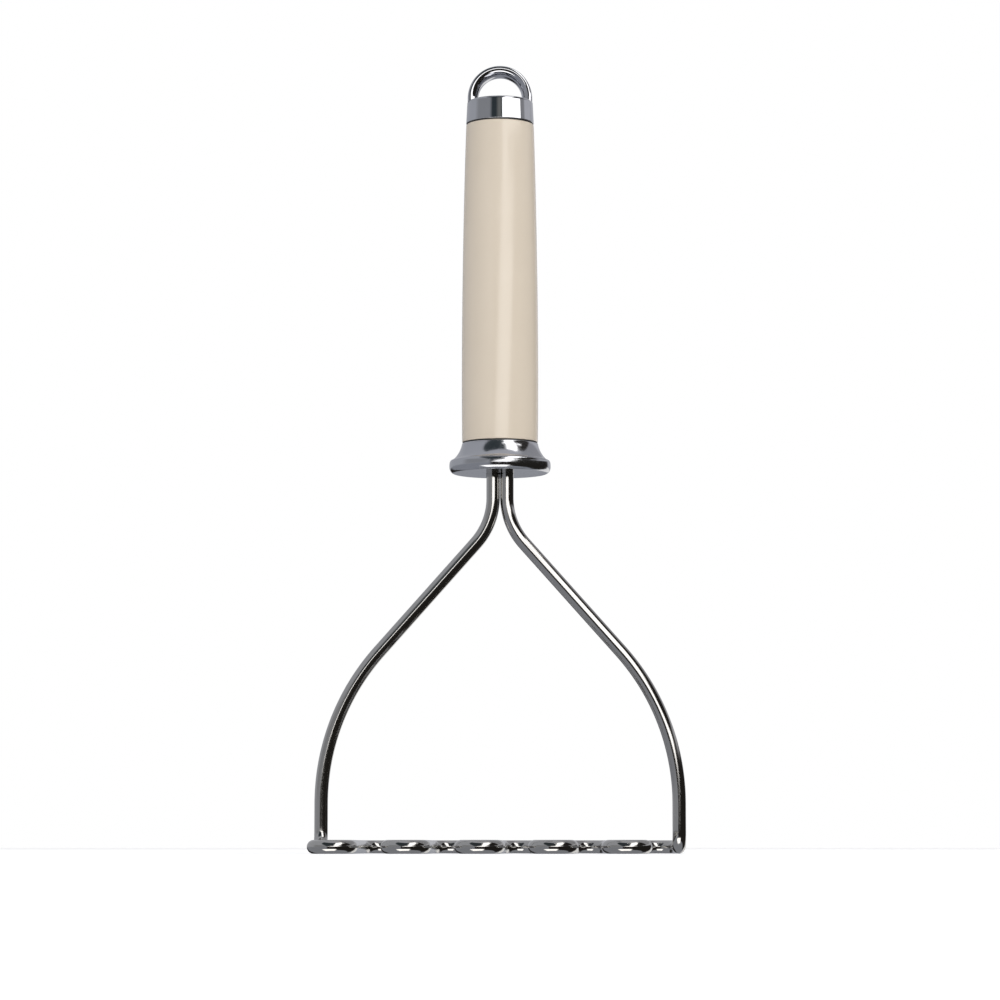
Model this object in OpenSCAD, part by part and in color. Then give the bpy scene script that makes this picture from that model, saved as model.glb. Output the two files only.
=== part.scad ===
// Wire potato masher.
// One bent wire makes the serpentine head, both arms and the two shanks.  The shanks run up through
// a flared bolster into a hollow handle, where a coupler and a tie rod clamp everything together.
// Origin: underside of the head, at its middle.  +Z runs up the handle, X along the head.

/* [Wire] */
// Diameter of the wire
wire_d = 4.4; // [4:0.1:4.8]
// Gap between the two shanks where they run side by side
shank_gap = 0.1; // [0.1:0.05:0.2]

/* [Head] */
// Width of the head over the outer legs
head_w = 120.6; // [115:0.2:126]
// Depth of the head over the U-bends
head_depth = 80.4; // [70:0.2:90]
// Number of legs in the serpentine (odd, so that both arms leave it alike)
leg_count = 11; // [9:2:11]

/* [Arms] */
// Height at which the arms begin to spread
shoulder_z = 115.9; // [114:0.1:118]
// Lean of the straight middle of each arm, from the vertical
arm_angle = 41.65; // [40:0.05:43]
// Centreline radius of the bend under the bolster
upper_bend_r = 22.5; // [20:0.5:25]
// Centreline radius of the long bend back to the vertical
lower_bend_r = 74; // [68:1:78]
// Centreline radius of the elbow where an arm becomes a leg
elbow_r = 5.2; // [4.8:0.1:5.8]

/* [Bolster] */
// Height of the bolster's flat underside
bolster_z = 123.85; // [122:0.05:125]
// Height of the bolster
bolster_h = 9.85; // [9.5:0.05:10.5]
// Largest radius of the rim
rim_r = 16.6; // [16.2:0.1:17.5]
// Radius at the seam with the handle
bolster_top_r = 12.47; // [12.3:0.01:12.6]
// Thickness of the floor that the wire passes through
bolster_floor = 3; // [2.5:0.1:3.2]

/* [Handle] */
// Length of the handle shell
handle_len = 105.6; // [100:0.1:112]
// Radius at the bolster end
handle_low_r = 12.42; // [12.3:0.01:12.6]
// Radius at the cap end
handle_top_r = 11.17; // [11.1:0.01:11.4]
// Radius of the shell's bore, which the core fills
shell_bore_r = 9.4; // [9.3:0.05:9.5]
// Thickness of the seal in each seam
seam_t = 0.4; // [0.3:0.1:0.6]

/* [End cap] */
// Height of the cap's plain band
ferrule_h = 7.5; // [7.2:0.1:8]
// Height of the hanging loop above the band
loop_rise = 11.6; // [11.4:0.1:12]
// Outer radius of the loop
loop_outer_r = 10.7; // [10.6:0.05:10.8]
// Thickness of the loop's band at its middle
loop_t = 3.5; // [3:0.1:3.8]
// Depth of the loop's band, front to back
loop_depth = 8; // [7:0.1:8.4]

/* [Inside the handle] */
// Shank length above the bolster's underside
shank_rise = 52.15; // [48:0.05:56]
// Outer radius of the coupler
coupler_r = 6; // [5.6:0.1:6.4]
// Depth of the coupler's pocket for the shanks
pocket_depth = 26; // [22:1:28]
// Nominal radius of the tie rod's M5 thread
rod_r = 2.45; // [2.4:0.01:2.48]

/* [Hidden] */
$fn = 96;

chrome = [0.78, 0.79, 0.81];
steel = [0.62, 0.62, 0.64];
cream = [0.84, 0.78, 0.70];
nylon = [0.30, 0.30, 0.31];
silicone = [0.13, 0.12, 0.12];

fit = 0.05;                                   // radial clearance of parts that slide together
thread_fit = 0.1;                             // radial clearance over the M5 thread
profile_steps = 12;                           // straight pieces in a curved outline

// Wire.  Lengths are rounded to a thousandth, so that neighbouring lengths of wire meet exactly.
function exact(length) = round(length * 1000) / 1000;
wire_r = wire_d / 2;
shank_x = wire_r + shank_gap / 2;
u_r = exact((head_w - wire_d) / (leg_count - 1) / 2);
pitch = 2 * u_r;
arm_x = u_r * (leg_count - 1);
u_y = head_depth / 2 - wire_r - u_r;          // where a leg ends and its U-bend begins
upper_x = shank_x + upper_bend_r * (1 - cos(arm_angle));
upper_z = shoulder_z - upper_bend_r * sin(arm_angle);
lower_x = arm_x - lower_bend_r * (1 - cos(arm_angle));
arm_run = (lower_x - upper_x) / sin(arm_angle);
drop_z = exact(upper_z - arm_run * cos(arm_angle) - lower_bend_r * sin(arm_angle));
bead_r = wire_r + 0.05;                       // bead in which a sloping length meets a bend
bead_gap = 0.1;                               // how far the sloping length stops short inside it

// Heights up the handle
pocket_z = bolster_z + bolster_floor;
shank_seal_t = 3;
core_z = pocket_z + shank_seal_t;
bolster_top_z = bolster_z + bolster_h;
shell_z = bolster_top_z + seam_t;
shell_top_z = shell_z + handle_len;
cap_z = shell_top_z + seam_t;
cap_top_z = cap_z + ferrule_h;

// Bolster
rim_edge = 1.6;                               // how far the rounded rim stands out of the flat
rim_half_h = 2.2;

// Handle
core_r = shell_bore_r - fit;
core_top_r = 8.8;
core_top_z = cap_z + 3.8;
edge_r = 0.35;                                // rounding of the shell's two ends
seal_inset = 0.22;                            // how far the seals sit inside the seams

// Coupler, tie rod and fasteners
shank_top_z = bolster_z + shank_rise;
coupler_z = shank_top_z - pocket_depth;
web_t = 4;
rod_z = shank_top_z + web_t;
coupler_top_z = rod_z + 10;
nut_well_r = 5.4;
nut_well_z = shell_top_z - 10.6;
washer_t = 1;
spring_t = 1.2;
nut_t = 4;
nut_flats = 8;
spring_z = nut_well_z + washer_t;
nut_z = spring_z + spring_t;

// End cap
cap_cavity_r = 8.9;
cap_roof_z = cap_z + 5;
boss_r = 4.6;
boss_z = nut_z + nut_t + 1.4;
rod_top_z = cap_z + 3;
loop_mid_r = loop_outer_r - loop_t / 2;
loop_z = cap_top_z + loop_rise - loop_outer_r;

// ---- outlines ----

function bezier(a, b, c, d, t) =
    pow(1 - t, 3) * a + 3 * t * pow(1 - t, 2) * b + 3 * t * t * (1 - t) * c + pow(t, 3) * d;

function curve(a, b, c, d, steps) = [for (i = [0:steps]) bezier(a, b, c, d, i / steps)];

function ellipse(centre, rx, ry, from, to, steps) = [
    for (i = [0:steps])
        let (angle = from + (to - from) * i / steps)
        centre + [rx * cos(angle), ry * sin(angle)]
];

// Flat underside, rounded rim and concave flare of the bolster, as radius and height
function bolster_outline() =
    let (
        rim_centre = [rim_r - rim_edge, bolster_z + rim_half_h],
        rim = ellipse(rim_centre, rim_edge, rim_half_h, -90, 75, profile_steps),
        low = rim[profile_steps],
        top = [bolster_top_r, bolster_top_z],
        flare = curve(low, low + [-1, 0.37], top + [0.43, -2.7], top, profile_steps)
    )
    concat([[0, bolster_z]], rim, [for (i = [1:profile_steps]) flare[i]], [[0, bolster_top_z]]);

// Outside of the handle: a long soft swell that is fullest low down and narrows towards the cap
function handle_outline() =
    let (
        low = [handle_low_r, shell_z + edge_r],
        top = [handle_top_r, shell_top_z - edge_r],
        low_pull = low + [0.43, handle_len * 0.335],
        top_pull = top + [0.85, -handle_len * 0.23],
        side = curve(low, low_pull, top_pull, top, 2 * profile_steps)
    )
    concat(
        [[shell_bore_r, shell_z]],
        ellipse([handle_low_r - edge_r, shell_z + edge_r], edge_r, edge_r, -90, -15, 4),
        side,
        ellipse([handle_top_r - edge_r, shell_top_z - edge_r], edge_r, edge_r, 15, 90, 4),
        [[shell_bore_r, shell_top_z]]
    );

// Plain band of the cap: a slight taper with a rounded upper edge
function ferrule_outline() =
    let (corner = 0.8, upper_r = handle_top_r - 0.32)
    concat(
        [[0, cap_z], [handle_top_r, cap_z]],
        ellipse([upper_r - corner, cap_top_z - corner], corner, corner, 0, 90, 6),
        [[0, cap_top_z]]
    );

// Section across the loop's band: full in the middle and rounded to its front and back edges
function loop_section() = [
    for (i = [0:31])
        let (angle = i * 360 / 32, c = cos(angle), s = sin(angle))
        [loop_mid_r + sign(c) * pow(abs(c), 0.8) * loop_t / 2, sign(s) * pow(abs(s), 0.8) * loop_depth / 2]
];

// ---- building blocks ----

// A bend of the wire in the XY plane, about the origin
module wire_bend(r, from, sweep) {
    rotate([0, 0, from])
        rotate_extrude(angle = sweep)
            translate([r, 0])
                circle(r = wire_r);
}

// A straight length of wire along +Y
module wire_leg(x, from_y, to_y) {
    translate([x, from_y, wire_r])
        rotate([-90, 0, 0])
            cylinder(r = wire_r, h = to_y - from_y);
}

// Shank on the +X side, and the bend in which it turns outwards
module arm_shank() {
    translate([shank_x, 0, shoulder_z])
        cylinder(r = wire_r, h = shank_top_z - shoulder_z);
    translate([shank_x + upper_bend_r, 0, shoulder_z])
        rotate([90, 0, 0])
            wire_bend(upper_bend_r, 180, arm_angle);
}

// Sloping middle of the arm, with the bead at each end that joins it to its bends
module arm_slope() {
    translate([upper_x, 0, upper_z])
        rotate([0, 180 - arm_angle, 0]) {
            translate([0, 0, bead_gap])
                cylinder(r = wire_r, h = arm_run - 2 * bead_gap);
            for (end = [0, arm_run])
                translate([0, 0, end])
                    sphere(r = bead_r);
        }
}

// Long bend back to the vertical
module arm_sweep() {
    translate([arm_x - lower_bend_r, 0, drop_z])
        rotate([90, 0, 0])
            wire_bend(lower_bend_r, 0, arm_angle);
}

// Last drop, elbow and outer half leg
module arm_foot() {
    translate([arm_x, 0, wire_r + elbow_r])
        cylinder(r = wire_r, h = drop_z - wire_r - elbow_r);
    translate([arm_x, elbow_r, wire_r + elbow_r])
        rotate([90, 0, 90])
            wire_bend(elbow_r, 180, 90);
    wire_leg(arm_x, elbow_r, u_y);
}

// Everything on the +X side, from the top of the shank to the end of the outer half leg
module wire_arm() {
    union() {
        union() {
            arm_shank();
            arm_slope();
            arm_sweep();
        }
        arm_foot();
    }
}

// Legs and U-bends of the head, between the two outer half legs
module wire_grid() {
    for (i = [1:leg_count - 2])
        wire_leg(i * pitch - arm_x, -u_y, u_y);
    for (i = [0:leg_count - 2])
        let (near = i % 2 == 0)
        translate([(i + 0.5) * pitch - arm_x, near ? -u_y : u_y, wire_r])
            wire_bend(u_r, near ? 180 : 0, 180);
}

// Outline that clears both shanks by the given amount
module shank_slot(clearance) {
    for (side = [-1, 1])
        translate([side * shank_x, 0])
            circle(r = wire_r + clearance);
    square([2 * shank_x, 2 * (wire_r + clearance)], center = true);
}

// A flat ring from z upwards
module ring(outer, inner, z, t) {
    translate([0, 0, z])
        difference() {
            cylinder(r = outer, h = t);
            translate([0, 0, -1])
                cylinder(r = inner, h = t + 2);
        }
}

// ---- sub-parts ----

// The whole bent wire: two shanks, two arms and the serpentine head
module masher_wire() {
    color(chrome) {
        wire_arm();
        rotate([0, 0, 180])
            wire_arm();
        wire_grid();
    }
}

// Turned steel coupler: both shank ends are brazed into its pocket, and the tie rod screws in above
module shank_coupler() {
    color(steel)
        difference() {
            translate([0, 0, coupler_z])
                cylinder(r = coupler_r, h = coupler_top_z - coupler_z);
            translate([0, 0, coupler_z - 1])
                linear_extrude(pocket_depth + 1)
                    shank_slot(fit);
            translate([0, 0, rod_z])
                cylinder(r = rod_r + thread_fit, h = coupler_top_z - rod_z + 1);
        }
}

// M5 stud from the coupler up into the end cap
module tie_rod() {
    color(steel)
        translate([0, 0, rod_z])
            cylinder(r = rod_r, h = rod_top_z - rod_z);
}

// Flared collar between the wire and the handle
module bolster() {
    color(chrome)
        difference() {
            rotate_extrude()
                polygon(bolster_outline());
            translate([0, 0, pocket_z])
                cylinder(r = shell_bore_r, h = bolster_h);
            translate([0, 0, bolster_z - 1])
                linear_extrude(bolster_floor + 2)
                    shank_slot(thread_fit);
        }
}

// Soft seal that keeps washing water out of the handle
module shank_seal() {
    color(silicone)
        difference() {
            translate([0, 0, pocket_z])
                cylinder(r = shell_bore_r - fit, h = shank_seal_t);
            translate([0, 0, pocket_z - 1])
                linear_extrude(shank_seal_t + 2)
                    shank_slot(fit);
        }
}

// Thin dark seal between the bolster and the handle shell
module bolster_seal() {
    color(silicone)
        ring(bolster_top_r - seal_inset, shell_bore_r, bolster_top_z, seam_t);
}

// Moulded carrier inside the handle, with a well for the clamping nut at its top
module handle_core() {
    color(nylon)
        difference() {
            union() {
                translate([0, 0, core_z])
                    cylinder(r = core_r, h = shell_top_z - core_z);
                translate([0, 0, shell_top_z])
                    cylinder(r = core_top_r, h = core_top_z - shell_top_z);
            }
            translate([0, 0, core_z - 1])
                cylinder(r = coupler_r + fit, h = coupler_top_z - core_z + 1);
            translate([0, 0, core_z])
                cylinder(r = rod_r + 3 * thread_fit, h = core_top_z - core_z + 1);
            translate([0, 0, nut_well_z])
                cylinder(r = nut_well_r, h = core_top_z - nut_well_z + 1);
        }
}

// Glossy outer sleeve of the handle
module handle_shell() {
    color(cream)
        rotate_extrude()
            polygon(handle_outline());
}

// Thin dark seal between the handle shell and the end cap
module cap_seal() {
    color(silicone)
        ring(handle_top_r - seal_inset, core_top_r + fit, shell_top_z, seam_t);
}

// Washer on the floor of the nut well
module plain_washer() {
    color(steel)
        ring(5, rod_r + 2 * thread_fit, nut_well_z, washer_t);
}

// Split spring washer under the nut
module spring_washer() {
    color(steel)
        difference() {
            ring(4.4, rod_r + thread_fit, spring_z, spring_t);
            translate([0, -0.4, spring_z - 1])
                cube([5, 0.8, spring_t + 2]);
        }
}

// M5 nut that pulls the wire up against the core
module clamp_nut() {
    color(steel)
        translate([0, 0, nut_z])
            difference() {
                cylinder(r = nut_flats / 2 / cos(30), h = nut_t, $fn = 6);
                translate([0, 0, -1])
                    cylinder(r = rod_r + thread_fit, h = nut_t + 2);
            }
}

// Cap with its hanging loop; its tapped boss screws down on the end of the tie rod
module end_cap() {
    color(chrome) {
        difference() {
            rotate_extrude()
                polygon(ferrule_outline());
            ring(cap_cavity_r, boss_r, cap_z - 1, cap_roof_z - cap_z + 1);
            translate([0, 0, cap_z - 1])
                cylinder(r = rod_r + thread_fit, h = rod_top_z - cap_z + 1.8);
        }
        ring(boss_r, rod_r + thread_fit, boss_z, cap_z - boss_z);
        hanging_loop();
    }
}

// Half-round loop on two short straight feet
module hanging_loop() {
    foot_h = loop_z - cap_top_z + 1;
    translate([0, 0, loop_z])
        rotate([90, 0, 0])
            rotate_extrude(angle = 180)
                polygon(loop_section());
    for (side = [0, 180])
        rotate([0, 0, side])
            translate([0, 0, loop_z - foot_h])
                linear_extrude(foot_h)
                    polygon(loop_section());
}

masher_wire();
shank_coupler();
tie_rod();
bolster();
shank_seal();
bolster_seal();
handle_core();
handle_shell();
cap_seal();
plain_washer();
spring_washer();
clamp_nut();
end_cap();
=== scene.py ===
"""Looks of the wire potato masher: the polished wire, the chrome bolster and end cap, the cream handle,
and the plain studio that they stand in.  Lengths are in metres; MM turns millimetres into metres."""

import math

import bpy
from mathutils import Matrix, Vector


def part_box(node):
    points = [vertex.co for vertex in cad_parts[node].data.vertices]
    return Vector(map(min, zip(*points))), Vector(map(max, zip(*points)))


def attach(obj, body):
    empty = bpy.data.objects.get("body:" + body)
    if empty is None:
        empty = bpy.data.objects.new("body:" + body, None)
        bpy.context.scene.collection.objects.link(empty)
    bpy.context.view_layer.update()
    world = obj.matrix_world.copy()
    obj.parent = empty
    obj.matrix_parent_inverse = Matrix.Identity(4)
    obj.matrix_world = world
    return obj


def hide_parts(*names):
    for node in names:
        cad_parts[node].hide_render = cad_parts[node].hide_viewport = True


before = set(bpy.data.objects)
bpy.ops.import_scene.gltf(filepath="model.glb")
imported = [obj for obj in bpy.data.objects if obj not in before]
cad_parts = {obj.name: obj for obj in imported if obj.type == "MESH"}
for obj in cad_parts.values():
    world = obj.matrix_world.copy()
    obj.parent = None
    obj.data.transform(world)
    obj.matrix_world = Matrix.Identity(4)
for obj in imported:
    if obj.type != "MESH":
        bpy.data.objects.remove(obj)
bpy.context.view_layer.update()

MM = 0.001

# ---- sizes, from the frame -------------------------------------------------------------------------

_, wire_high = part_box("masher_wire")
bolster_low, bolster_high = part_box("bolster")
shell_low, shell_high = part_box("handle_shell")
_, cap_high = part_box("end_cap")
_, seal_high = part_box("cap_seal")

WIRE_R = 2.2 * MM
SHANK_X = 2.25 * MM
LEG_COUNT = 11
ARM_X = wire_high.x - WIRE_R
U_R = ARM_X / (LEG_COUNT - 1)
U_Y = wire_high.y - WIRE_R - U_R
SHOULDER_Z = 115.9 * MM
ARM_ANGLE = math.radians(41.65)
UPPER_BEND_R = 22.5 * MM
LOWER_BEND_R = 74 * MM
ELBOW_R = 5.2 * MM

HANDLE_BORE_R = 9.4 * MM
RIM_R = bolster_high.x
CAP_Z = seal_high.z
CAP_R = cap_high.x
FERRULE_H = 7.5 * MM
FERRULE_TOP = CAP_Z + FERRULE_H
LOOP_OUTER_R = 10.7 * MM
LOOP_T = 3.5 * MM
LOOP_DEPTH = 8 * MM
LOOP_Z = cap_high.z - LOOP_OUTER_R

# Steps round a turned piece, and the bend in degrees above which an edge stays crisp.
TURN_STEPS = 160
SMOOTH_BELOW = 30

# ---- mesh building ---------------------------------------------------------------------------------


def new_object(name, mesh):
    piece = bpy.data.objects.new(name, mesh)
    bpy.context.scene.collection.objects.link(piece)
    return piece


def mesh_from(name, points, faces, corner_uvs=None):
    """A smooth-shaded object with crisp edges where it bends sharply."""
    mesh = bpy.data.meshes.new(name)
    mesh.from_pydata(points, [], faces)
    if corner_uvs:
        layer = mesh.uv_layers.new(name="UVMap")
        for corner, uv in zip(layer.data, corner_uvs):
            corner.uv = uv
    mesh.update()
    mesh.shade_smooth()
    mesh.set_sharp_from_angle(angle=math.radians(SMOOTH_BELOW))
    return new_object(name, mesh)


def arc(centre, u, v, r, start, end, steps):
    """Points on a circle in the plane of u and v, from one angle to another, the first one left out."""
    angles = (start + (end - start) * i / steps for i in range(1, steps + 1))
    return [centre + r * (math.cos(a) * u + math.sin(a) * v) for a in angles]


def line_to(start, end, steps):
    """Points on a straight, the first one left out."""
    return [start.lerp(end, i / steps) for i in range(1, steps + 1)]


def ellipse(centre, rx, rz, start, end, steps):
    """Profile points from one angle in degrees to another, both ends included."""
    angles = (math.radians(start + (end - start) * i / steps) for i in range(steps + 1))
    return [(centre[0] + rx * math.cos(a), centre[1] + rz * math.sin(a)) for a in angles]


def full_corner(centre, rx, rz, end, steps):
    """From angle 0 to end round a corner that is fuller than an ellipse, which has a fullness of 2."""
    fullness = 3.4
    power = 2 / fullness
    out = []
    for i in range(steps + 1):
        a = math.radians(end * i / steps)
        out.append((centre[0] + rx * math.cos(a) ** power, centre[1] + rz * math.sin(a) ** power))
    return out


def bezier(a, b, c, d, steps):
    """Profile points on the cubic from a to d with handles b and c."""
    out = []
    for i in range(steps + 1):
        t = i / steps
        weights = ((1 - t) ** 3, 3 * t * (1 - t) ** 2, 3 * t * t * (1 - t), t ** 3)
        out.append(tuple(sum(w * p[k] for w, p in zip(weights, (a, b, c, d))) for k in (0, 1)))
    return out


def tube(name, path, radius, sides):
    """A round wire along a path.  Its frame is carried along without twist, and its ends are closed."""
    points, faces, uvs, along = [], [], [], []
    uv_per_metre = 100
    side_axis = Vector((0, 1, 0))
    travelled = 0.0
    for i, centre in enumerate(path):
        ahead = path[min(i + 1, len(path) - 1)]
        behind = path[max(i - 1, 0)]
        tangent = (ahead - behind).normalized()
        side_axis = (side_axis - side_axis.dot(tangent) * tangent).normalized()
        other = tangent.cross(side_axis)
        travelled += (centre - behind).length
        along.append(travelled * uv_per_metre)
        for j in range(sides):
            a = 2 * math.pi * j / sides
            points.append(centre + radius * (math.cos(a) * side_axis + math.sin(a) * other))
    for i in range(len(path) - 1):
        for j in range(sides):
            k = (j + 1) % sides
            faces.append((i * sides + j, i * sides + k, (i + 1) * sides + k, (i + 1) * sides + j))
            low, high = j / sides, (j + 1) / sides
            uvs += [(along[i], low), (along[i], high), (along[i + 1], high), (along[i + 1], low)]
    last = (len(path) - 1) * sides
    faces.append(tuple(reversed(range(sides))))
    faces.append(tuple(range(last, last + sides)))
    uvs += [(0, 0)] * (2 * sides)
    return mesh_from(name, points, faces, uvs)


def supported(profile, gap=0.03 * MM):
    """The closed profile with a point just inside each end of its long straights, so that smooth
    shading leaves them straight.  Stretches along the axis need none."""
    largest_share = 0.05
    out = []
    for i, point in enumerate(profile):
        here, ahead = Vector(point), Vector(profile[(i + 1) % len(profile)])
        share = gap / (ahead - here).length
        out.append(tuple(here))
        if share < largest_share and (here.x or ahead.x):
            out += [tuple(here.lerp(ahead, share)), tuple(ahead.lerp(here, share))]
    return out


def lathe(name, profile, widen=None):
    """A closed profile of (radius, height) points turned about Z, with one shared point wherever it
    touches the axis.  widen(radius, angle) gives how far a point moves along X, for an outline that
    isn't round."""
    points, faces, index = [], [], {}
    profile = supported(profile)
    for i in range(TURN_STEPS):
        a = 2 * math.pi * i / TURN_STEPS
        for k, (r, z) in enumerate(profile):
            if i and r == 0:
                index[i, k] = index[0, k]
                continue
            index[i, k] = len(points)
            x = r * math.cos(a) + (widen(r, a) if widen else 0)
            points.append((x, r * math.sin(a), z))
    for i in range(TURN_STEPS):
        ahead = (i + 1) % TURN_STEPS
        for k in range(len(profile)):
            n = (k + 1) % len(profile)
            corners = dict.fromkeys((index[i, k], index[ahead, k], index[ahead, n], index[i, n]))
            if len(corners) > 2:
                faces.append(tuple(corners))
    return mesh_from(name, points, faces)


# ---- the pieces ------------------------------------------------------------------------------------


def arm_path():
    """Centreline of the +X side, from the top of its shank down to the elbow's end."""
    x, y, z = Vector((1, 0, 0)), Vector((0, 1, 0)), Vector((0, 0, 1))
    sin, cos = math.sin(ARM_ANGLE), math.cos(ARM_ANGLE)
    upper = Vector((SHANK_X + UPPER_BEND_R * (1 - cos), 0, SHOULDER_Z - UPPER_BEND_R * sin))
    lower_x = ARM_X - LOWER_BEND_R * (1 - cos)
    run = (lower_x - upper.x) / sin
    lower = upper + run * Vector((sin, 0, -cos))
    drop_z = lower.z - LOWER_BEND_R * sin
    path = [Vector((SHANK_X, 0, wire_high.z))]
    path += line_to(path[-1], Vector((SHANK_X, 0, SHOULDER_Z)), 12)
    path += arc(Vector((SHANK_X + UPPER_BEND_R, 0, SHOULDER_Z)), -x, -z, UPPER_BEND_R, 0, ARM_ANGLE, 24)
    path += line_to(path[-1], lower, 12)
    path += arc(Vector((ARM_X - LOWER_BEND_R, 0, drop_z)), x, z, LOWER_BEND_R, ARM_ANGLE, 0, 48)
    path += line_to(path[-1], Vector((ARM_X, 0, WIRE_R + ELBOW_R)), 4)
    path += arc(Vector((ARM_X, ELBOW_R, WIRE_R + ELBOW_R)), -y, -z, ELBOW_R, 0, math.pi / 2, 16)
    return path


def wire_path():
    """Centreline of the whole wire, from the -X shank through the head to the +X shank."""
    x, y = Vector((1, 0, 0)), Vector((0, 1, 0))
    right = arm_path()
    path = [Vector((-p.x, -p.y, p.z)) for p in right]
    for i in range(LEG_COUNT - 1):
        side = -1 if i % 2 == 0 else 1
        centre = Vector(((2 * i + 1) * U_R - ARM_X, side * U_Y, WIRE_R))
        path += line_to(path[-1], centre - U_R * x, 8)
        path += arc(centre, -x, side * y, U_R, 0, math.pi, 32)
    path += line_to(path[-1], right[-1], 4)
    return path + right[-2::-1]


def make_wire():
    sides = 40
    return tube("wire", wire_path(), WIRE_R, sides)


def make_bolster():
    """Flat underside with a slot for both shanks, rounded rim and concave flare up to the seam."""
    edge, half = 1.6 * MM, 2.2 * MM
    base, top = bolster_low.z, bolster_high.z
    rim = ellipse((RIM_R - edge, base + half), edge, half, -90, 0, 16)
    rim += full_corner((RIM_R - edge, base + half), edge, half, 75, 24)[1:]
    seam_r, floor_t, lip = 12.47 * MM, 3 * MM, 0.25 * MM
    start, end = rim[-1], (seam_r, top - lip)
    low_pull = (start[0] - MM, start[1] + 0.37 * MM)
    top_pull = (seam_r + 0.43 * MM, top - 2.7 * MM)
    flare = bezier(start, low_pull, top_pull, end, 32)
    lip_arc = ellipse((seam_r - lip, top - lip), lip, lip, 0, 90, 5)
    slot_r = WIRE_R + 0.1 * MM
    profile = [(slot_r, base + floor_t), (slot_r, base)] + rim + flare[1:] + lip_arc[1:]
    profile += [(HANDLE_BORE_R, top), (HANDLE_BORE_R, base + floor_t)]
    fade_length, steepness = 4 * MM, 4

    def slot(r, angle):
        """Moves the slot's two ends out to the shanks; the outline is round again further out."""
        c = math.cos(angle)
        fade = max(0, 1 - (r - slot_r) / fade_length)
        return math.copysign(SHANK_X, c) * min(1, abs(c) * steepness) * fade

    return lathe("bolster_chrome", profile, widen=slot)


def make_shell():
    """The long soft swell of the handle, fullest low down, with rounded ends."""
    edge = 0.35 * MM
    low_r, top_r = 12.42 * MM, 11.17 * MM
    base, top = shell_low.z, shell_high.z
    length = top - base
    low, high = (low_r, base + edge), (top_r, top - edge)
    low_pull = (low_r + 0.43 * MM, low[1] + length * 0.335)
    top_pull = (top_r + 0.85 * MM, high[1] - length * 0.23)
    side = bezier(low, low_pull, top_pull, high, 96)
    low_round = ellipse((low_r - edge, base + edge), edge, edge, -90, 0, 8)
    top_round = ellipse((top_r - edge, top - edge), edge, edge, 0, 90, 8)
    profile = [(HANDLE_BORE_R, base)] + low_round + side[1:] + top_round[1:] + [(HANDLE_BORE_R, top)]
    return lathe("handle_cream", profile)


def loop_section(angle):
    """A point of the loop's section, (outwards, depth): deepest a little outside its middle, so that
    both faces lean in towards the hole."""
    squareness, lean, lean_power = 0.8, 0.4, 3
    c, s = math.cos(angle), math.sin(angle)
    outwards = math.copysign(abs(c) ** squareness, c) + lean * abs(s) ** lean_power
    return outwards * LOOP_T / 2, math.copysign(abs(s) ** squareness, s) * LOOP_DEPTH / 2


def make_loop():
    """Half-round band on two straight feet, which are sunk a little into the cap's band."""
    sides, steps = 96, 160
    sunk = 0.6 * MM
    mid_r = LOOP_OUTER_R - LOOP_T / 2
    foot_z = FERRULE_TOP - sunk
    rings = [(Vector((mid_r, 0, foot_z)), 0.0)]
    for step in range(steps + 1):
        a = math.pi * step / steps
        rings.append((Vector((mid_r * math.cos(a), 0, LOOP_Z + mid_r * math.sin(a))), a))
    rings.append((Vector((-mid_r, 0, foot_z)), math.pi))
    points, faces = [], []
    for centre, turn in rings:
        out = Vector((math.cos(turn), 0, math.sin(turn)))
        for j in range(sides):
            radial, depth = loop_section(2 * math.pi * j / sides)
            points.append(centre + out * radial + Vector((0, depth, 0)))
    for i in range(len(rings) - 1):
        for j in range(sides):
            k = (j + 1) % sides
            faces.append((i * sides + k, i * sides + j, (i + 1) * sides + j, (i + 1) * sides + k))
    faces.append(tuple(range(sides)))
    end = (len(rings) - 1) * sides
    faces.append(tuple(reversed(range(end, end + sides))))
    return mesh_from("cap_loop", points, faces)


def make_ferrule():
    """The cap's plain band: a slight taper and a rounded upper edge, hollow below."""
    corner, cavity_r, roof = 0.8 * MM, 8.9 * MM, 5 * MM
    taper, lip = 0.32 * MM, 0.15 * MM
    upper_r = CAP_R - taper
    profile = [(cavity_r, CAP_Z)] + ellipse((CAP_R - lip, CAP_Z + lip), lip, lip, -90, 0, 4)
    profile += ellipse((upper_r - corner, FERRULE_TOP - corner), corner, corner, 3, 90, 12)
    profile += [(0, FERRULE_TOP), (0, CAP_Z + roof), (cavity_r, CAP_Z + roof)]
    return lathe("cap_band", profile)


def make_end_cap():
    """The band and the loop made one solid, as they are one casting."""
    band, loop = make_ferrule(), make_loop()
    joiner = band.modifiers.new("join", "BOOLEAN")
    joiner.operation = "UNION"
    joiner.solver = "EXACT"
    joiner.object = loop
    shape = bpy.data.meshes.new_from_object(band.evaluated_get(bpy.context.evaluated_depsgraph_get()))
    band.modifiers.clear()
    band.data = shape
    band.name = "cap_chrome"
    shape.set_sharp_from_angle(angle=math.radians(SMOOTH_BELOW))
    bpy.data.objects.remove(loop)
    return band


# ---- materials -------------------------------------------------------------------------------------


CLOUD_START, CLOUD_END = 0.35, 0.65
SCRATCH_DEPTH = 0.02 * MM
GRAIN_DEPTH = 0.03 * MM


def material(name):
    """A new material with its node tree's parts: (material, nodes, links, principled shader)."""
    made = bpy.data.materials.new(name)
    made.use_nodes = True
    tree = made.node_tree
    return made, tree.nodes, tree.links, tree.nodes["Principled BSDF"]


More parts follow.
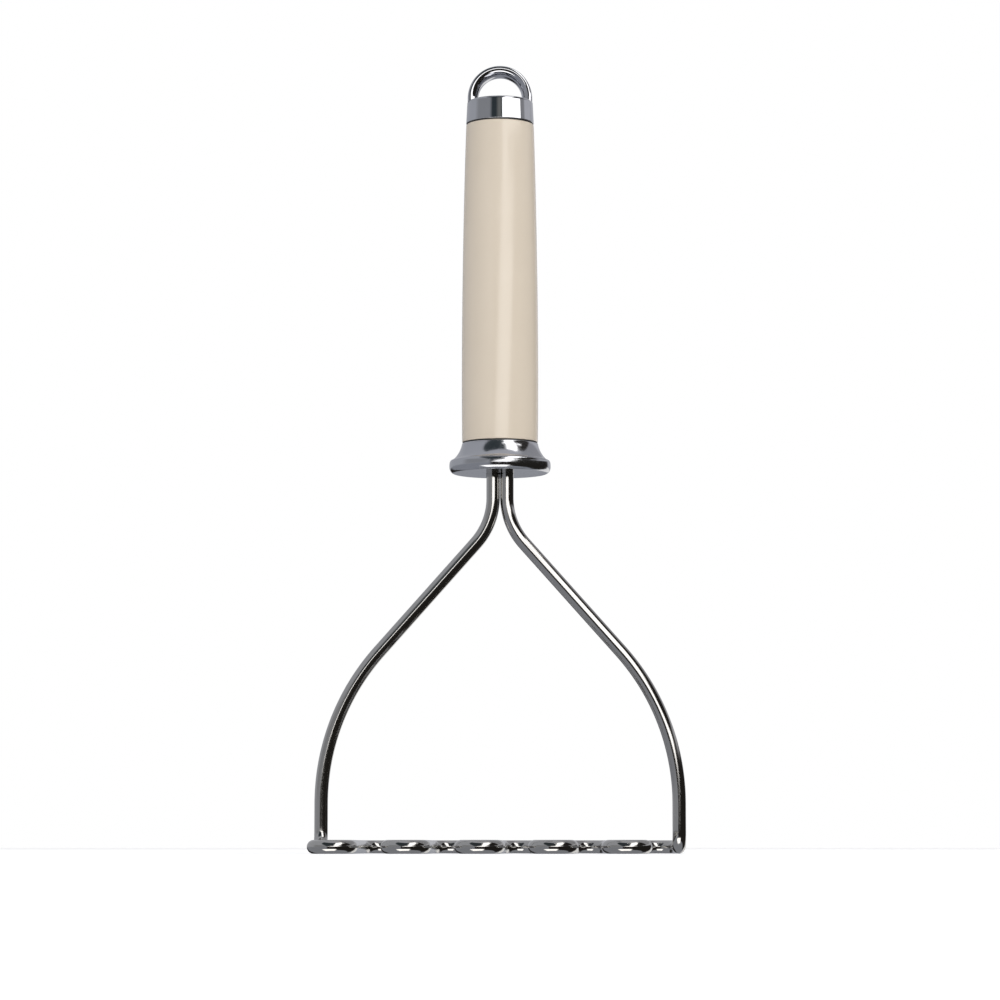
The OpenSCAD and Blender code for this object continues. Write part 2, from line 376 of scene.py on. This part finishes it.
def noise(nodes, links, coords, scale, detail=3.0, stretch=(1, 1, 1)):
    """Clouds or grain between 0 and 1, finer for a larger scale and drawn out by the stretch."""
    mapping = nodes.new("ShaderNodeMapping")
    mapping.inputs["Scale"].default_value = stretch
    texture = nodes.new("ShaderNodeTexNoise")
    texture.inputs["Scale"].default_value = scale
    texture.inputs["Detail"].default_value = detail
    links.new(coords, mapping.inputs["Vector"])
    links.new(mapping.outputs["Vector"], texture.inputs["Vector"])
    return texture.outputs["Fac"]


def ramp(nodes, links, value, low, high, start=CLOUD_START, end=CLOUD_END):
    """Turns a value between start and end into a number from low to high."""
    node = nodes.new("ShaderNodeMapRange")
    node.inputs["From Min"].default_value = start
    node.inputs["From Max"].default_value = end
    node.inputs["To Min"].default_value = low
    node.inputs["To Max"].default_value = high
    links.new(value, node.inputs["Value"])
    return node.outputs["Result"]


def tint(nodes, links, value, first, second):
    """Mixes two colours, or sockets that give colours, by a value from 0 to 1."""
    node = nodes.new("ShaderNodeMix")
    node.data_type = "RGBA"
    for socket, colour in ((node.inputs["A"], first), (node.inputs["B"], second)):
        if isinstance(colour, tuple):
            socket.default_value = (*colour, 1)
        else:
            links.new(colour, socket)
    links.new(value, node.inputs["Factor"])
    return node.outputs["Result"]


def bump(nodes, links, height, strength, distance):
    node = nodes.new("ShaderNodeBump")
    node.inputs["Strength"].default_value = strength
    node.inputs["Distance"].default_value = distance
    links.new(height, node.inputs["Height"])
    return node.outputs["Normal"]


def metal(name, light, dark, roughness, scratch, grain=(1, 1, 1), coords_from="Object", scale=900):
    """Polished metal: clouded tone, uneven polish, and fine scratches along the grain."""
    made, nodes, links, shader = material(name)
    coords = nodes.new("ShaderNodeTexCoord").outputs[coords_from]
    cloud = noise(nodes, links, coords, 60)
    fine = noise(nodes, links, coords, scale, detail=4, stretch=grain)
    links.new(tint(nodes, links, ramp(nodes, links, cloud, 0, 1), light, dark), shader.inputs["Base Color"])
    links.new(ramp(nodes, links, fine, *roughness), shader.inputs["Roughness"])
    links.new(bump(nodes, links, fine, scratch, SCRATCH_DEPTH), shader.inputs["Normal"])
    shader.inputs["Metallic"].default_value = 1.0
    return made


def plastic(name, light, dark, roughness, grain, relief):
    """Moulded plastic: faint pigment clouds, uneven gloss and a fine surface grain."""
    made, nodes, links, shader = material(name)
    coords = nodes.new("ShaderNodeTexCoord").outputs["Object"]
    cloud = noise(nodes, links, coords, 35, detail=5)
    fine = noise(nodes, links, coords, grain, detail=2)
    links.new(tint(nodes, links, ramp(nodes, links, cloud, 0, 1), light, dark), shader.inputs["Base Color"])
    links.new(ramp(nodes, links, fine, *roughness), shader.inputs["Roughness"])
    links.new(bump(nodes, links, fine, relief, GRAIN_DEPTH), shader.inputs["Normal"])
    shader.inputs["IOR"].default_value = 1.58
    return made


WIRE = metal("wire_steel", (0.58, 0.57, 0.555), (0.50, 0.495, 0.48), (0.06, 0.13), 0.06,
             grain=(0.02, 8, 1), coords_from="UV", scale=12)
# The bolster has the same plating as the end cap, with a softer polish.
CHROME = metal("chrome_plate", (0.62, 0.63, 0.66), (0.57, 0.58, 0.61), (0.04, 0.08), 0.02)
SOFT_CHROME = metal("soft_chrome_plate", (0.62, 0.63, 0.66), (0.57, 0.58, 0.61), (0.13, 0.19), 0.02)
TURNED = metal("turned_steel", (0.55, 0.55, 0.56), (0.45, 0.45, 0.46), (0.22, 0.38), 0.25,
               grain=(1, 1, 12), scale=400)
CREAM = plastic("cream_shell", (0.70, 0.615, 0.505), (0.68, 0.595, 0.485), (0.10, 0.15), 220, 0.03)
NYLON = plastic("core_nylon", (0.055, 0.055, 0.06), (0.045, 0.045, 0.05), (0.45, 0.6), 900, 0.4)
SILICONE = plastic("seal_silicone", (0.022, 0.021, 0.020), (0.015, 0.015, 0.015), (0.5, 0.7), 700, 0.3)


def finish_piece(piece, finish, slot, *nodes):
    """Gives a piece its material, tells the frame what it rides on and hides the nodes that it replaces."""
    piece.data.materials.clear()
    piece.data.materials.append(finish)
    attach(piece, "root")
    if nodes:
        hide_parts(*nodes)


finish_piece(make_wire(), WIRE, "wire", "masher_wire")
finish_piece(make_bolster(), SOFT_CHROME, "plated_metal", "bolster")
finish_piece(make_shell(), CREAM, "shell_plastic", "handle_shell")
finish_piece(make_end_cap(), CHROME, "plated_metal", "end_cap")

CAD_FINISH = {
    "shank_coupler": TURNED, "tie_rod": TURNED, "plain_washer": TURNED, "spring_washer": TURNED,
    "clamp_nut": TURNED, "handle_core": NYLON, "shank_seal": SILICONE, "bolster_seal": SILICONE,
    "cap_seal": SILICONE,
}
for node, finish in CAD_FINISH.items():
    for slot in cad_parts[node].material_slots:
        slot.material = finish

# ---- studio ----------------------------------------------------------------------------------------

scene = bpy.context.scene
scene.view_settings.view_transform = "Standard"

LENS_MM = 126
SENSOR_MM = 36
CAMERA_NEAR = 0.01
CAMERA_DISTANCE = 1.14
CAMERA_HEIGHT = 2.2 * MM
CAMERA_AZIMUTH = math.radians(1.15)
CAMERA_PITCH = math.radians(5.66)


def spot(distance, azimuth):
    """Where something stands, (x, y), by its azimuth: 0 is in front, towards -Y."""
    return distance * math.sin(azimuth), -distance * math.cos(azimuth)


def make_camera():
    data = bpy.data.cameras.new("camera")
    data.lens = LENS_MM
    data.sensor_width = SENSOR_MM
    data.clip_start = CAMERA_NEAR
    camera = bpy.data.objects.new("camera", data)
    scene.collection.objects.link(camera)
    camera.location = (*spot(CAMERA_DISTANCE, CAMERA_AZIMUTH), CAMERA_HEIGHT)
    camera.rotation_euler = (math.pi / 2 + CAMERA_PITCH, 0, CAMERA_AZIMUTH)
    scene.camera = camera


make_camera()

WALL_LEFT = (0.44, 0.45, 0.48)
WALL_RIGHT = (0.54, 0.54, 0.57)
WALL_LOW = (0.30, 0.31, 0.34)
KEY = (2.3, 2.26, 2.22)
BLACK = (0.02, 0.018, 0.016)
BLUE_BLACK = (0.04, 0.05, 0.055)

# Each panel: azimuth from and to (0 is towards the camera, 90 to its right), elevation from and to,
# how far it leans to the right for each degree of height, and the width of its soft edge, all in
# degrees; then its light.  Later panels stand in front of earlier ones.  The back panels lie below
# the horizon and show most in views from above.
PANELS = {
    "left_wall": (-88, -28, 0, 24, 0, 8, (0.31, 0.315, 0.33)),
    "front_gap": (-32, 40, 13, 68, 0, 5, BLUE_BLACK),
    "high_gap": (-38, 30, 28, 70, -1.1, 4, BLUE_BLACK),
    "front_haze": (-9, 5, 13, 22, 0, 5, (0.20, 0.20, 0.19)),
    "right_gap": (22, 104, 13, 58, 0, 3, BLACK),
    "high_side_wall": (106, 170, 22, 62, 0, 3, (0.34, 0.34, 0.36)),
    "side_wall": (76, 160, 12, 20, 0, 2, (0.30, 0.30, 0.31)),
    "far_side_wall": (94, 160, 12, 20, 0, 3, WALL_RIGHT),
    "key": (7, 24, 13, 24, 1.2, 2, KEY),
    "high_key": (9, 42, 24, 66, 0.5, 2.5, KEY),
    "high_key_side": (9, 30, 22, 66, 1.3, 2.5, KEY),
    "low_gap": (-22, 140, -50, 13, 0, 3, BLACK),
    "low_key": (-21, 19, 3.5, 14, 2.8, 2.5, KEY),
    "table": (-50, 24, -66, -36, 0, 4, (2.2, 2.15, 2.1)),
    "back_key": (138, 170, -34, -3, 0, 3, (0.95, 0.94, 0.93)),
    "back_gap": (-172, -146, -34, -3, 0, 4, BLACK),
}


def between(nodes, links, value, low, high, soft):
    """1 inside a range of angles and 0 outside it, with a soft edge."""
    rise = ramp(nodes, links, value, 0, 1, low - soft, low + soft)
    fall = ramp(nodes, links, value, 1, 0, high - soft, high + soft)
    return math_node(nodes, links, "MULTIPLY", rise, fall)


def math_node(nodes, links, operation, first, second=None):
    """One step of arithmetic on sockets or plain numbers."""
    node = nodes.new("ShaderNodeMath")
    node.operation = operation
    for socket, value in zip(node.inputs, (first, second)):
        if isinstance(value, (int, float)):
            socket.default_value = value
        elif value is not None:
            links.new(value, socket)
    return node.outputs["Value"]


def make_world():
    """Grey walls with soft panels for the light and the reflections; the camera sees plain white."""
    side_blend, low_blend, high_blend = 0.6, -0.08, 0.04
    world = bpy.data.worlds.new("studio")
    world.use_nodes = True
    nodes, links = world.node_tree.nodes, world.node_tree.links
    away = nodes.new("ShaderNodeSeparateXYZ")
    links.new(nodes.new("ShaderNodeTexCoord").outputs["Generated"], away.inputs["Vector"])
    behind = math_node(nodes, links, "MULTIPLY", away.outputs["Y"], -1)
    azimuth = math_node(nodes, links, "ARCTAN2", away.outputs["X"], behind)
    azimuth = math_node(nodes, links, "DEGREES", azimuth)
    azimuth = math_node(nodes, links, "SUBTRACT", azimuth, math.degrees(CAMERA_AZIMUTH))
    elevation = math_node(nodes, links, "ARCSINE", away.outputs["Z"])
    elevation = math_node(nodes, links, "DEGREES", elevation)
    right = ramp(nodes, links, away.outputs["X"], 0, 1, -side_blend, side_blend)
    above = ramp(nodes, links, away.outputs["Z"], 0, 1, low_blend, high_blend)
    light = tint(nodes, links, above, WALL_LOW, tint(nodes, links, right, WALL_LEFT, WALL_RIGHT))
    for low_az, high_az, low_el, high_el, lean, soft, colour in PANELS.values():
        lift = math_node(nodes, links, "SUBTRACT", elevation, low_el)
        shift = math_node(nodes, links, "MULTIPLY", lift, lean)
        upright = math_node(nodes, links, "SUBTRACT", azimuth, shift)
        across = between(nodes, links, upright, low_az, high_az, soft)
        upward = between(nodes, links, elevation, low_el, high_el, soft / 2)
        inside = math_node(nodes, links, "MULTIPLY", across, upward)
        light = tint(nodes, links, inside, light, colour)
    seen = nodes.new("ShaderNodeLightPath").outputs["Is Camera Ray"]
    links.new(tint(nodes, links, seen, light, (1, 1, 1)), nodes["Background"].inputs["Color"])
    scene.world = world


make_world()


def make_floor():
    """Pale floor that the metal doesn't mirror."""
    reach, paint, glow = 6.0, 0.85, 0.5
    corners = [(-reach, -reach, 0), (reach, -reach, 0), (reach, reach, 0), (-reach, reach, 0)]
    mesh = bpy.data.meshes.new("floor")
    mesh.from_pydata(corners, [], [(0, 1, 2, 3)])
    floor = new_object("floor", mesh)
    made, _, _, shader = material("floor_paint")
    shader.inputs["Base Color"].default_value = (paint, paint, paint, 1)
    shader.inputs["Roughness"].default_value = 1.0
    shader.inputs["Specular IOR Level"].default_value = 0.0
    shader.inputs["Emission Color"].default_value = (1, 1, 1, 1)
    shader.inputs["Emission Strength"].default_value = glow
    mesh.materials.append(made)
    floor.visible_glossy = False


make_floor()


def make_card():
    """Small bright curved card, right of the camera and higher than the end cap, which mirrors it."""
    radius, low, high = 220 * MM, 292 * MM, 319 * MM
    start, end, steps = 8, 74, 24
    points = []
    for i in range(steps + 1):
        a = math.radians(start + (end - start) * i / steps) + CAMERA_AZIMUTH
        points += [(*spot(radius, a), z) for z in (low, high)]
    faces = [(2 * i, 2 * i + 2, 2 * i + 3, 2 * i + 1) for i in range(steps)]
    mesh = bpy.data.meshes.new("card")
    mesh.from_pydata(points, [], faces)
    card = new_object("card", mesh)
    made, _, _, shader = material("card_light")
    shader.inputs["Base Color"].default_value = (0, 0, 0, 1)
    shader.inputs["Emission Color"].default_value = (*KEY, 1)
    shader.inputs["Emission Strength"].default_value = 1.0
    mesh.materials.append(made)
    card.visible_camera = False
    card.visible_diffuse = False
    card.visible_shadow = False


make_card()


def make_fill(name, azimuth, energy):
    """Soft light that shapes the handle without showing in the polished metal."""
    distance, height, size, tilt = 1.29, 0.45, 0.6, math.radians(75)
    data = bpy.data.lights.new(name, "AREA")
    data.energy = energy
    data.size = size
    fill = bpy.data.objects.new(name, data)
    scene.collection.objects.link(fill)
    angle = math.radians(azimuth)
    fill.location = (*spot(distance, angle), height)
    fill.rotation_euler = (tilt, 0, angle)
    fill.visible_glossy = False
    fill.visible_camera = False


make_fill("front_fill", 6, 4.4)
make_fill("back_fill", 165, 2.6)
